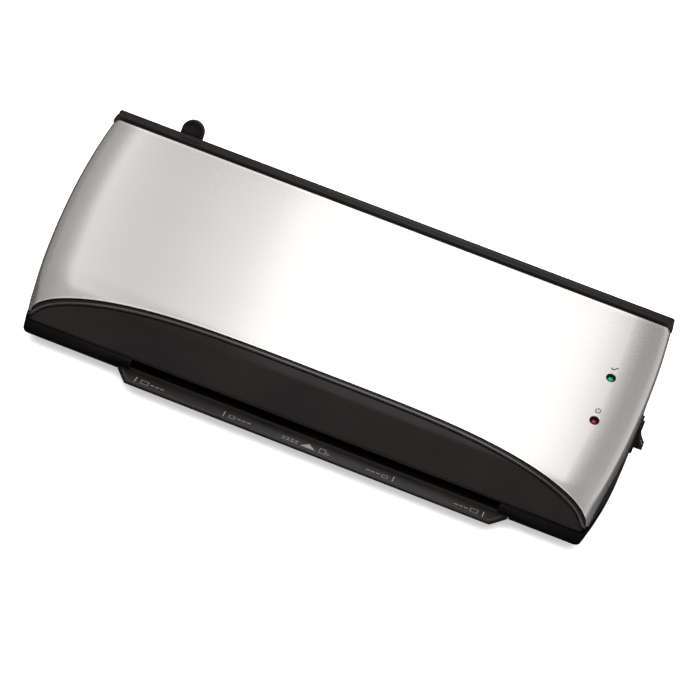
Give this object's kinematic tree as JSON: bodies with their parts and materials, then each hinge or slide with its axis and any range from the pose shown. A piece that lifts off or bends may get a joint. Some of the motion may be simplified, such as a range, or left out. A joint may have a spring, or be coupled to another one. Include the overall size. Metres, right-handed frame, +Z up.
{
  "type": "pouch laminator",
  "caption": "Desktop pouch laminator with a sloping silver cover, front entry tray, rear exit slot, heated roller pair, release lever and side power rocker.",
  "frame": {"origin": "middle of the footprint, on the surface the feet stand on", "axes": "+X to the operator's right along the machine, +Y to the rear, the way the pouch travels, +Z up"},
  "size_m": [0.3776, 0.157, 0.1036],
  "materials": {
    "silver_shell": "metallic silver paint on moulded plastic, satin",
    "gloss_black": "moulded plastic, polished",
    "black_plastic": "moulded plastic, fine satin texture",
    "rubber": "matt",
    "zinc": "zinc-plated steel sheet",
    "steel": "ground",
    "aluminium": "mill finish",
    "bronze": "sintered",
    "silicone": "silicone rubber",
    "nylon": "natural",
    "board": "coated circuit board",
    "mica": "mica laminate",
    "ceramic": "unglazed",
    "red_lens": "tinted lens",
    "green_lens": "tinted lens",
    "blue_case": "moulded"
  },
  "bodies": {
    "housing": {"base_housing": "black_plastic", "top_cover": "silver_shell", "front_fascia": "gloss_black", "rear_cover": "black_plastic", "rear_trim": "black_plastic", "entry_tray": "black_plastic", "cord_inlet": "rubber", "exit_guide": "black_plastic", "power_switch": "black_plastic", "upper_heater_shoe": "aluminium", "lower_heater_shoe": "aluminium", "upper_heater_element": "mica", "lower_heater_element": "mica", "thermostat": "ceramic", "thermal_fuse": "ceramic", "spring_bridge": "zinc", "front_bar": "zinc", "motor": "zinc", "idler_stud": "steel", "motor_pillar_1": "steel", "motor_pillar_2": "steel", "led_board": "board", "led_ready": "green_lens", "led_power": "red_lens", "control_board": "board", "relay": "blue_case", "terminal_block": "nylon", "foot_1": "rubber", "base_screw_1": "steel", "foot_2": "rubber", "base_screw_2": "steel", "foot_3": "rubber", "base_screw_3": "steel", "foot_4": "rubber", "base_screw_4": "steel", "frame_plate_left": "zinc", "arm_pin_left": "steel", "lower_bush_left": "bronze", "pressure_spring_left": "steel", "frame_plate_right": "zinc", "arm_pin_right": "steel", "lower_bush_right": "bronze", "pressure_spring_right": "steel"},
    "lower_roller": {"lower_roller_shaft": "steel", "lower_roller_sleeve": "silicone", "lower_roller_gear": "nylon"},
    "upper_roller": {"upper_roller_shaft": "steel", "upper_roller_sleeve": "silicone", "upper_roller_gear": "nylon"},
    "pressure_arms": {"pressure_arm_left": "zinc", "pressure_arm_right": "zinc", "upper_bush_left": "bronze", "upper_bush_right": "bronze"},
    "release": {"release_shaft": "steel", "release_lever": "black_plastic", "release_cam_left": "nylon", "release_cam_right": "nylon"},
    "idler": {"idler_gear": "nylon"},
    "drive_pinion": {"motor_pinion": "nylon"},
    "rocker": {"power_rocker": "gloss_black"}
  },
  "joints": [
    {"name": "lower_roller_spin", "type": "hinge", "parent": "housing", "child": "lower_roller", "pos_m": [0, 0.03199, 0.02126], "axis": [1, 0, 0], "continuous": true},
    {"name": "arm_lift", "type": "hinge", "parent": "housing", "child": "pressure_arms", "pos_m": [0, -0.00019, 0.0425], "axis": [1, 0, 0], "range_deg": [0, 1.9], "deforming": ["pressure_spring_left", "pressure_spring_right"]},
    {"name": "upper_roller_spin", "type": "hinge", "parent": "pressure_arms", "child": "upper_roller", "pos_m": [0, 0.02869, 0.03997], "axis": [1, 0, 0], "continuous": true},
    {"name": "idler_spin", "type": "hinge", "parent": "housing", "child": "idler", "pos_m": [0, 0.01487, 0.0249], "axis": [1, 0, 0], "continuous": true},
    {"name": "drive_pinion_spin", "type": "hinge", "parent": "housing", "child": "drive_pinion", "pos_m": [0, 0.00415, 0.0339], "axis": [1, 0, 0], "continuous": true},
    {"name": "release_lever_swing", "type": "hinge", "parent": "housing", "child": "release", "pos_m": [0, 0.05872, 0.0539], "axis": [-1, 0, 0], "range_deg": [0, 35]},
    {"name": "power_rocker_tilt", "type": "hinge", "parent": "housing", "child": "rocker", "pos_m": [0.18325, 0.02983, 0.0345], "axis": [0, 1, 0], "range_deg": [0, 30]}
  ],
  "couplings": [
    {"joint": "upper_roller_spin", "follows": "lower_roller_spin", "ratio": -1},
    {"joint": "idler_spin", "follows": "lower_roller_spin", "ratio": -1.1875},
    {"joint": "drive_pinion_spin", "follows": "lower_roller_spin", "ratio": 1.5833},
    {"joint": "arm_lift", "follows": "release_lever_swing", "ratio": 0.0527}
  ]
}
